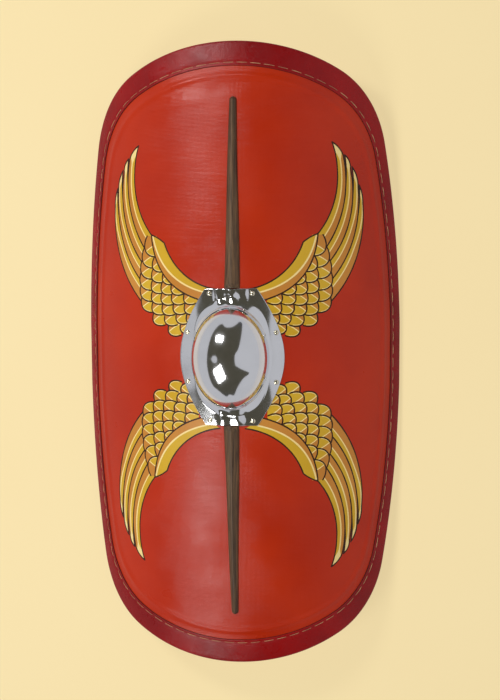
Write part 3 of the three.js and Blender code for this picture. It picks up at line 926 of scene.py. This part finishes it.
def makeEdging():
    # one folded strip: the profile's points (depth from the rim, lift off the face) carried round the rim
    look = edgingLook
    deep, high = look["foldHalf"]
    groove = [(look["stitchInset"] + depth, lift) for depth, lift in look["groove"]]
    turns = np.linspace(1.45, 0.0, 7)
    fold = [(deep * (1 - math.cos(turn)) + 0.1, high * math.sin(turn) - 1.7) for turn in turns]
    front = look["cutEdge"] + groove + look["band"] + fold
    back = [(depth, -shieldForm["thickness"] - lift) for depth, lift in front[::-1]]
    outside = len(front + back)
    depth, lift = np.array(front + back + look["inside"]).T[:, :, None]
    rim = rimOutline(look["stations"])
    station = np.arange(len(rim)) / len(rim) * 2 * math.pi
    # soft unevenness and short puckers across the band, none of it on the hidden inside
    pucker = 0.10 * ripple(station * 83, depth * 0.10, 3.0) + 0.05 * ripple(station * 211, depth * 0.2, 5.0)
    onBand = smoothStep(0, 6, depth) * (np.arange(len(depth)) < outside)[:, None]
    lifts = lift + (pucker - 0.12) * onBand * np.where(lift > -4, 1, -1)
    rings = np.stack([insetRim(rim, inset) for inset in depth[:, 0]])
    faces = gridFaces(len(rings), len(rim), closedRows=True)
    leathers = [redLeather, cutEdgeAndPaintedShade]
    piece = makeObject("leatherEdging", onArch(rings, lifts), [face[::-1] for face in faces], leathers)
    slots = np.zeros(lifts.shape, int)
    slots[[0, 1, 2, outside - 3, outside - 2]] = 1  # the raw cut edges, front and back, darker as cut leather and as painted shade along the edging's inner edge
    piece.data.polygons.foreach_set("material_index", slots.ravel())
    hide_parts("edging")
    return piece


def makeStitching():
    # a stitch is a short rod: rings of an ellipse along the groove, its ends drawn in and sunk
    look = edgingLook
    path = insetRim(rimOutline(4000), look["stitchInset"])
    closed = np.concatenate([path, path[:1]])
    lengths = pathLengths(closed)
    count = round(lengths[-1] / look["stitchPitch"])
    number = np.arange(count)
    along, taper, rise = (np.array(look[key]) for key in ("stitchAlong", "stitchTaper", "stitchRise"))
    turn = np.linspace(0, 2 * math.pi, look["stitchSides"], endpoint=False)
    wide = look["stitchHalfWidth"] * taper[:, None] * np.cos(turn)
    high = look["stitchHalfHeight"] * taper[:, None] * np.sin(turn) + rise[:, None]
    span = look["stitchLength"] + look["lengthSpread"] * ripple(number * 2.3, number * 0.9, 7.0)
    quads = np.array(gridFaces(len(along), len(turn)))
    ring = np.arange(len(turn))
    caps = np.stack([ring[::-1], ring + (len(along) - 1) * len(turn)])
    vertices, faces = [], []
    start = 0
    for side in (1, -1):  # the front, then the back, where each stitch spans the gap of two front ones
        moved = look["placeSpread"] * ripple(number * 1.7, number * 0.6, 4.0 + side)
        begin = (number + 0.5 * (side < 0)) * lengths[-1] / count + moved
        places = (begin[:, None] + along * span[:, None]) % lengths[-1]
        centre = pointsAlong(closed, lengths, places)
        tangent = pointsAlong(closed, lengths, (places + 1.0) % lengths[-1]) - centre
        tangent /= np.linalg.norm(tangent, axis=-1)[..., None]
        normal = np.stack([-tangent[..., 1], tangent[..., 0]], -1)
        flat = centre[:, :, None, :] + normal[:, :, None, :] * wide[None, :, :, None]
        lift = look["stitchLift"] + high
        points = onArch(flat, lift if side > 0 else -shieldForm["thickness"] - lift).reshape(count, -1, 3)
        offset = start + number[:, None, None] * points.shape[1]
        for form in (quads, caps):
            turned = form if side > 0 else form[:, ::-1]
            faces += (offset + turned).reshape(-1, form.shape[1]).tolist()
        vertices.append(points.reshape(-1, 3))
        start += len(vertices[-1])
    piece = makeObject("edgeStitching", np.concatenate(vertices), faces, [thread])
    return piece


makeEdging()
makeStitching()
report("edging made")

bossLook = {
    "columns": 216,
    "plateSide": [(101, 0), (101, 40), (82, 82), (50, 130)],
    "domeHalf": (72.5, 98.5),
    "domeHeight": 72.0,
    "domeFullness": 0.9,  # the height's power: 1 is an ellipsoid
    "wall": 1.5,
    "underShare": 0.2,  # how far the hollow lies lower at the foot, as a share of the wall
    "dent": 0.14,
    "hammerMark": 0.12,
    "swell": 2.6,
    "swellSpot": (2.0, 119.0),  # the swell's middle on the plate and its half width and height
    "swellHalf": (21.0, 12.0),
    "waveHeight": 1.25,
    "waveLength": 31.0,
    "flareWidths": (3.5, 12.5),  # at the dome's sides, and how much wider at its ends
    "flareRise": 0.56,  # the flare's height as a share of its width
    "flareCurve": 1.35,
    "domeRings": 57,
    "flareRings": 14,
    "plateRings": 15,
    "hem": [(0.008, 0.0), (0.0025, 0.15), (0.0, 0.5), (0.0, 1.35)],  # share inwards, drop
}


def plateOutline(count):
    # straight ends, and a Bezier curve from each end's corner to the widest point, evenly spaced by length
    side = bezier(bossLook["plateSide"], 60)
    quarter = np.concatenate([side, [[0, side[-1, 1]]]])
    upper = np.concatenate([quarter, quarter[::-1][1:] * [-1, 1]])
    whole = np.concatenate([upper, upper[::-1][1:] * [1, -1]])
    lengths = pathLengths(whole)
    return pointsAlong(whole, lengths, np.linspace(0, lengths[-1], count, endpoint=False))


def plateLift(points):
    # flat sheet with shallow hammer marks, and upright waves with a low swell at the middle of both ends:
    # a sine along x, and a bell, both faded out towards the rivets and the dome's sides
    look = bossLook
    x, y = points[..., 0], points[..., 1]
    high = np.abs(y)
    spotX, spotY = look["swellSpot"]
    halfX, halfY = look["swellHalf"]
    swell = look["swell"] * np.exp(-(((x - spotX) / halfX) ** 2) - ((high - spotY) / halfY) ** 2)
    fade = smoothStep(96, 108, high) * (1 - smoothStep(20, 36, np.abs(x)))
    phase = 2 * math.pi * (x + 4 * np.sign(y)) / look["waveLength"] + 0.6 * np.sin(y / 9)
    waves = look["waveHeight"] * (np.sin(phase) + 1)
    marks = look["hammerMark"] * ripple(x / 9, y / 11, 6.0)
    return look["wall"] + swell + fade * waves + marks


def domeLayers(direction, shrink, turns):
    # rings of the dome, drawn in by shrink: half axes times the sine of each turn, and a height that is
    # the cosine to a power below one, with faint dents on the outside
    look = bossLook
    half = np.array(look["domeHalf"]) - shrink
    layers = []
    for turn in turns:
        level = max(math.cos(turn), 0.0)
        ring = direction * half * math.sin(turn)
        rise = (look["domeHeight"] - shrink) * level ** look["domeFullness"]
        dent = look["dent"] * level**0.5 * (shrink == 0) * ripple(ring[:, 0] / 13, ring[:, 1] / 16, 8.0)
        layers.append((ring, look["wall"] - shrink * look["underShare"] + rise + dent))
    return layers


def makeBoss():
    # one sheet as rings: down the dome, out over its flare and the plate, round the hem and back beneath
    look = bossLook
    outline = plateOutline(look["columns"])
    direction = outline / look["domeHalf"]
    direction /= np.hypot(*direction.T)[:, None]
    foot = direction * look["domeHalf"]
    turns = np.linspace(0, math.pi / 2, look["domeRings"] + 1)[1:]
    layers = domeLayers(direction, 0, turns[:-5])
    # the dome's foot flares into the plate, widest at the upper and lower ends
    out = foot / np.hypot(*foot.T)[:, None]
    least, more = look["flareWidths"]
    flare = least + more * smoothStep(0.35, 0.95, np.abs(out[:, 1]))
    flare = flare * (1 + 0.12 * ripple(foot[:, 0] / 19, foot[:, 1] / 23, 12.0))
    for part in np.linspace(0, 1, look["flareRings"]):
        ring = foot + out * (flare * part)[:, None]
        raised = look["flareRise"] * flare * (1 - part) ** look["flareCurve"]
        layers.append((ring, plateLift(ring) + raised))
    start = layers[-1][0]
    for share in np.linspace(0, 1, look["plateRings"] + 1)[1:-1]:
        ring = start * (1 - share) + outline * share
        layers.append((ring, plateLift(ring)))
    for inset, drop in look["hem"]:
        ring = outline * (1 - inset)
        layers.append((ring, plateLift(ring) - drop))
    for share in (0.01, 0.5, 1.0):
        ring = outline * (1 - share) + foot * 0.985 * share
        layers.append((ring, plateLift(ring) - look["wall"] + 0.05))
    layers += domeLayers(direction, look["wall"], turns[::-1][3:])
    rings, lifts = zip(*layers)
    grid = onArch(np.stack(rings) + bossCentre, np.stack(lifts)).reshape(-1, 3)
    crowns = [look["wall"] + look["domeHeight"], look["domeHeight"] - look["wall"] * look["underShare"]]
    poles = onArch(np.stack([bossCentre, bossCentre]), np.array(crowns))
    columns = len(outline)
    top, under, last = len(grid), len(grid) + 1, len(grid) - columns
    faces = [face[::-1] for face in gridFaces(len(rings), columns)]
    faces += [[top, k, (k + 1) % columns] for k in range(columns)]
    faces += [[under, last + (k + 1) % columns, last + k] for k in range(columns)]
    piece = makeObject("steelBoss", np.concatenate([grid, poles]), faces, [steel])
    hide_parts("boss")
    return piece


rivetLook = {
    "headRadius": 4.75,
    "headHeight": 3.2,
    "shankRadius": 2.0,
    "tail": [(3.5, -8.0), (3.3, -8.7), (2.6, -9.3), (1.3, -9.55), (0.2, -9.6)],
    "spots": [
        (-41, 121), (41, 121), (-85.5, 47), (85.5, 47), (-85.5, -47), (85.5, -47), (-41, -121), (41, -121),
    ],
}


def lathe(profile, count=28, wobble=0.02):
    # (radius, height) points turned about the vertical, a little out of round, with both ends capped
    turn = np.linspace(0, 2 * math.pi, count, endpoint=False)
    profile = np.array(profile)
    radius = profile[:, :1] * (1 + wobble * np.sin(3 * turn + 0.7)[None, :])
    rings = np.stack([radius * np.cos(turn), radius * np.sin(turn), profile[:, 1:] + 0 * turn], -1)
    return rings.reshape(-1, 3), tubeFaces(len(profile), count)


def domedHead(radius, height, seat):
    # a quarter of an ellipse from the crown down to an upright edge of half a millimetre on the seat
    turns = np.linspace(0.06, math.pi / 2, 9)
    dome = [(radius * math.sin(turn), seat + 0.5 + (height - 0.5) * math.cos(turn)) for turn in turns]
    return dome + [(radius, seat)]


def makeRivet(name, centre, node, seed):
    # domed head, shank in its bore and hammered tail, leaned to stand square on the arch
    look = rivetLook
    seat, back = bossLook["wall"], -shieldForm["thickness"]
    shank = [(look["shankRadius"], seat), (look["shankRadius"], back)]
    local, faces = lathe(domedHead(look["headRadius"], look["headHeight"], seat) + shank + look["tail"])
    turn = centre[0] / shieldForm["archRadius"]
    lean = np.array(Matrix.Rotation(turn, 3, "Y")) @ np.array(Matrix.Rotation(seed, 3, "Z"))
    points = local @ lean.T * mm + onArch(np.array(centre), 0.0)
    piece = makeObject(name, points, [face[::-1] for face in faces], [rivetMetal])
    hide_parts(node)
    return piece


makeBoss()
for number, spot in enumerate(rivetLook["spots"]):
    makeRivet(f"rivetHead{number + 1}", spot + bossCentre, f"rivet_{number + 1}", 0.8 * number)
report("boss and rivets made")

spineLook = {
    "upper": {"footX": 0.5, "footY": 135.0, "tipX": 4.5, "tipY": 489.0, "node": "spine_upper"},
    "lower": {"footX": -2.5, "footY": -127.0, "tipX": 2.0, "tipY": -494.0, "node": "spine_lower"},
    "widths": (30.0, 13.0),  # at the foot and at the tip
    "heights": (12.8, 9.0),
    "bevel": (4.0, 10.0),  # the foot's own height, and how long its slope is
    "ridge": 0.42,  # how much of the section is a roof
    "ridgeSoftness": 0.006,
    "shaving": 0.18,
    "sway": 0.5,
}


def makeSpine(name, look):
    # a tapering bar whose section lies between a half ellipse and a roof, with a bevelled foot and a
    # round tip
    length = abs(look["tipY"] - look["footY"])
    side = math.copysign(1, look["tipY"])
    footWidth, tipWidth = spineLook["widths"]
    footHigh, tipHigh = spineLook["heights"]
    tipRound = tipWidth / 2
    straight = length - tipRound
    station = np.concatenate([
        np.linspace(0, 12, 13),
        np.linspace(12, straight, 110)[1:],
        straight + tipRound * np.sin(np.linspace(0, 1.45, 9)[1:]),
    ])[:, None]
    share = station / length
    roundOff = np.sqrt(1 - (np.maximum(0, station - straight) / tipRound) ** 2)
    halfWidth = (footWidth + (tipWidth - footWidth) * share) / 2 * roundOff
    lowHigh, bevelLength = spineLook["bevel"]
    bevel = smoothStep(-0.3, 1, station / bevelLength) ** 0.8
    fullHigh = footHigh + (tipHigh - footHigh) * share
    height = (lowHigh + (fullHigh - lowHigh) * bevel) * roundOff
    turn = np.linspace(0, math.pi, 33)[None, :]
    u = np.cos(turn)
    ridge, soft = spineLook["ridge"], spineLook["ridgeSoftness"]
    nearest, farthest = math.sqrt(soft), math.sqrt(1 + soft)
    roof = 1 - (np.sqrt(u**2 + soft) - nearest) / (farthest - nearest)
    section = (1 - ridge) * np.sin(turn) ** 0.95 + ridge * roof
    shaved = spineLook["shaving"] * ripple(station / 17, u * 3, 9.0) * np.sin(turn)
    sway = spineLook["sway"] * np.sin(share * 7)
    x = look["footX"] + (look["tipX"] - look["footX"]) * share + sway + halfWidth * u
    y = look["footY"] + side * station + 0 * u
    top = onArch(np.stack([x, y], -1), height * section + shaved * roundOff)
    under = onArch(np.stack([x[:, ::-1], y], -1), 0 * x - 0.5)
    rows = np.concatenate([top, under], 1)
    faces = tubeFaces(*rows.shape[:2])
    if side > 0:
        faces = [face[::-1] for face in faces]
    piece = makeObject(name, rows, faces, [spineWood])
    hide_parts(look["node"])
    return piece


makeSpine("upperSpine", spineLook["upper"])
makeSpine("lowerSpine", spineLook["lower"])
report("spines made")

gripLook = {
    "length": 244.0,
    "widths": (28.0, 40.0),  # in the hand and at the pads
    "depth": 22.0,
    "setBack": 17.0,
    "endRound": 2.0,
    "handShare": 0.35,
    "padShare": 0.7,
    "carving": 0.25,
    "nailSpacing": 200.0,
    "nailRadius": 4.6,
}


def makeGrip():
    # a bar along X: a superellipse, round in the hand and squarer at its pads, its top cut to the board's
    # hollow back
    look = gripLook
    half, halfDepth = look["length"] / 2, look["depth"] / 2
    station = np.concatenate([
        [-half, -half + 0.5, -half + 1.5],
        np.linspace(-half + 4, half - 4, 150),
        [half - 1.5, half - 0.5, half],
    ])[:, None]
    fromEnd = np.minimum(half - np.abs(station), look["endRound"]) / look["endRound"]
    ease = np.sqrt(np.clip(1 - (1 - fromEnd) ** 2, 0, 1))
    shrink = 1 - 0.06 * (1 - ease)
    pad = smoothStep(look["handShare"], look["padShare"], np.abs(station) / half)
    turn = np.linspace(0, 2 * math.pi, 64, endpoint=False)[None, :]
    power = 1 - 0.5 * pad
    across = np.sign(np.cos(turn)) * np.abs(np.cos(turn)) ** power
    upright = np.sign(np.sin(turn)) * np.abs(np.sin(turn)) ** power
    rise = np.clip(upright * (1 + 0.3 * pad), -1, 1)
    inHand, atPad = look["widths"]
    halfWidth = (inHand + (atPad - inHand) * pad) / 2
    carved = look["carving"] * ripple(station / 11, turn * 1.0, 11.0) * (1 - pad)
    x = bossCentre[0] + station + 0 * turn
    y = bossCentre[1] + across * (halfWidth + carved) * shrink
    z = rise * (halfDepth - 0.02 + np.minimum(carved, 0)) * shrink - look["setBack"] - halfDepth
    backRadius = shieldForm["archRadius"] - shieldForm["thickness"]
    backFace = np.sqrt(backRadius**2 - x**2) - shieldForm["archRadius"]
    z = np.minimum(z, backFace - 0.15)
    points = np.stack([x * mm, y * mm, z * mm + crownHeight], -1)
    piece = makeObject("handGrip", points, tubeFaces(*points.shape[:2]), [gripWood])
    piece.data.polygons[-1].use_smooth = False
    piece.data.polygons[-2].use_smooth = False
    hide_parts("hand_grip")
    return piece


def makeNail(name, side, node):
    # a nail driven in from behind: domed head on the grip's pad, and its shank into the board
    look = gripLook
    nailX = bossCentre[0] + side * look["nailSpacing"] / 2
    seat = look["setBack"] + look["depth"]
    face = math.sqrt(shieldForm["archRadius"] ** 2 - nailX**2) - shieldForm["archRadius"] - 2
    shank = rivetLook["shankRadius"]
    head = domedHead(look["nailRadius"], rivetLook["headHeight"], seat)
    local, faces = lathe(head + [(shank, seat), (shank, -face), (0.2, -face)])
    local[:, 2] *= -1
    spot = np.array([nailX * mm, bossCentre[1] * mm, crownHeight])
    nail = makeObject(name, local * mm + spot, faces, [rivetMetal])
    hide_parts(node)
    return nail


makeGrip()
makeNail("gripNailLeft", -1, "grip_nail_left")
makeNail("gripNailRight", 1, "grip_nail_right")
report("grip made")

# The studio: a pale floor, two soft lights on the left and an uneven dark card overhead
studio = {
    "floorSize": 14.0,
    "floorGlow": 0.70,
    "floorShare": 0.32,  # how much of the cream is lit, the rest glows
    "airColour": (0.86, 0.86, 0.90, 1),
    "airStrength": 0.63,
    # the camera's turn in degrees and its distance from the crown; focal length and shift in pixels
    "azimuth": 8.699,
    "elevation": 5.694,
    "roll": 0.409,
    "distance": 2.1573,
    "focal": 1140.9,
    "shift": (17.8, 9.6),
    "pictureHeight": 700,
    "sensorHeight": 36,
    "cardHeight": 2.75,
    "cardShade": 0.11,
    "cardCorners": [
        (-4.2, -4.4), (-2.6, -4.6), (-1.4, -9.0), (-0.3, -5.0), (1.1, -8.0), (1.3, -2.0), (4.0, -2.2),
        (3.6, -1.8), (0.95, -0.7), (0.62, -0.5), (0.62, 0.2), (1.1, 0.5), (1.7, 1.6), (8.0, 14.0),
        (5.0, 12.0), (1.4, 4.4), (-0.6, 2.8), (-2.2, 5.8), (-3.8, 3.2), (-3.9, 1.2),
        # a slot open to the left, so that the plate's left side stays pale
        (-3.9, -0.198), (-3.9, -0.198), (-2.35, -0.198), (-2.35, 0.08), (-1.4, 0.08), (-1.4, -0.48),
        (-2.35, -0.48), (-2.35, -0.202), (-3.9, -0.202), (-3.9, -0.202),
    ],
    # each light's position, the point it looks at, its width and height, watts, and its own roll
    "lights": {
        "upperSoftbox": ((-0.83, 0.98, 1.75), (-0.05, 0.1, 0.1), (0.60, 0.32), 16.5, 0.0),
        "lowerSoftbox": ((-0.74, -0.80, 1.7), (-0.05, -0.1, 0.1), (0.72, 0.72), 13, 0.42),
    },
}


def flatSheet(name, corners, material):
    # one flat polygon with its material
    mesh = bpy.data.meshes.new(name)
    mesh.from_pydata(corners, [], [list(range(len(corners)))])
    mesh.materials.append(material)
    sheet = bpy.data.objects.new(name, mesh)
    bpy.context.scene.collection.objects.link(sheet)
    return sheet


def makeFloor():
    # a matt cream sheet that is partly lit and partly glows; the steel reflects its glow as a cooler grey
    half = studio["floorSize"] / 2
    corners = [(-half, -half, 0), (half, -half, 0), (half, half, 0), (-half, half, 0)]
    material, graph, shader = newMaterial("creamFloor")
    spot = graph.spot()
    patches = graph.ramp(graph.noise(spot, 1.2, 3.0), 0.3, 0.7)
    share = studio["floorShare"]
    lit = graph.mix(patches, colour(250, 226, 172, share), colour(252, 231, 180, share))
    graph.put(shader.inputs["Base Color"], lit)
    seen = graph.node("ShaderNodeLightPath").outputs["Is Glossy Ray"]
    glow = graph.mix(seen, colour(252, 231, 178), colour(206, 206, 214))
    graph.put(shader.inputs["Emission Color"], glow)
    shader.inputs["Emission Strength"].default_value = studio["floorGlow"]
    shader.inputs["Roughness"].default_value = 0.9
    shader.inputs["Specular IOR Level"].default_value = 0.1
    floor = flatSheet("studioFloor", corners, material)
    floor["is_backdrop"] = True


def addLight(name, position, aim, size, power, roll):
    # a rectangular soft light whose back points away from its aim
    data = bpy.data.lights.new(name, "AREA")
    data.shape = "RECTANGLE"
    data.size, data.size_y = size
    data.energy = power
    lamp = bpy.data.objects.new(name, data)
    bpy.context.scene.collection.objects.link(lamp)
    lamp.location = position
    back = (Vector(position) - Vector(aim)).normalized()
    right = Vector((0, 1, 0)).cross(back).normalized()
    turned = Matrix((right, back.cross(right), back)).transposed() @ Matrix.Rotation(roll, 3, "Z")
    lamp.rotation_euler = turned.to_euler()
    lamp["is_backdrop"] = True
    return lamp


def roundedCorners(corners, times):
    # each pass puts two points on every side, at a quarter and three quarters of it
    points = np.array(corners)
    for _ in range(times):
        following = np.roll(points, -1, 0)
        near = 0.75 * points + 0.25 * following
        far = 0.25 * points + 0.75 * following
        points = np.stack([near, far], 1).reshape(-1, 2)
    return points.tolist()


def addCard(name, height, outline, shade):
    # a flat sheet of mottled card hung above the table, out of the camera's sight
    corners = [(x, y, height) for x, y in roundedCorners(outline, 3)]
    material, graph, shader = newMaterial(name)
    spot = graph.spot()
    mottled = graph.noise(spot, 1.5, 2.0)
    dark = (shade * 0.60, shade * 0.68, shade * 0.80, 1)
    light = (shade * 0.9, shade, shade * 1.2, 1)
    graph.put(shader.inputs["Base Color"], graph.mix(mottled, dark, light))
    shader.inputs["Roughness"].default_value = 0.9
    card = flatSheet(name, corners, material)
    card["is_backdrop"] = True


def makeWorld():
    # the same pale air all round
    world = bpy.data.worlds.new("studioAir")
    world.use_nodes = True
    air = world.node_tree.nodes["Background"].inputs
    air["Color"].default_value = studio["airColour"]
    air["Strength"].default_value = studio["airStrength"]
    bpy.context.scene.world = world


def makeCamera():
    # looks at the crown from azimuth and elevation off straight above, turned by its roll, with the
    # picture's middle shifted off the axis
    a, e, r = (math.radians(studio[key]) for key in ("azimuth", "elevation", "roll"))
    flatRight = Vector((math.cos(a), 0, -math.sin(a)))
    flatUp = Vector((-math.sin(a) * math.sin(e), math.cos(e), -math.cos(a) * math.sin(e)))
    right = math.cos(r) * flatRight - math.sin(r) * flatUp
    up = math.sin(r) * flatRight + math.cos(r) * flatUp
    back = Vector((math.sin(a) * math.cos(e), math.sin(e), math.cos(a) * math.cos(e)))
    data = bpy.data.cameras.new("camera")
    data.sensor_fit = "VERTICAL"
    data.sensor_height = studio["sensorHeight"]
    data.lens = studio["focal"] * studio["sensorHeight"] / studio["pictureHeight"]
    data.shift_x, data.shift_y = (pixels / studio["pictureHeight"] for pixels in studio["shift"])
    camera = bpy.data.objects.new("camera", data)
    bpy.context.scene.collection.objects.link(camera)
    camera.location = Vector((0, 0, crownHeight)) + back * studio["distance"]
    camera.rotation_euler = Matrix((right, up, back)).transposed().to_euler()
    bpy.context.scene.camera = camera


makeFloor()
addCard("darkCard", studio["cardHeight"], studio["cardCorners"], studio["cardShade"])
for name, light in studio["lights"].items():
    addLight(name, *light)
makeWorld()
makeCamera()
bpy.context.scene.view_settings.view_transform = "Standard"
report("studio made")

lookBox = [list(corner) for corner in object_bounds()]
report(f"boxes: {cadBox} {lookBox}")
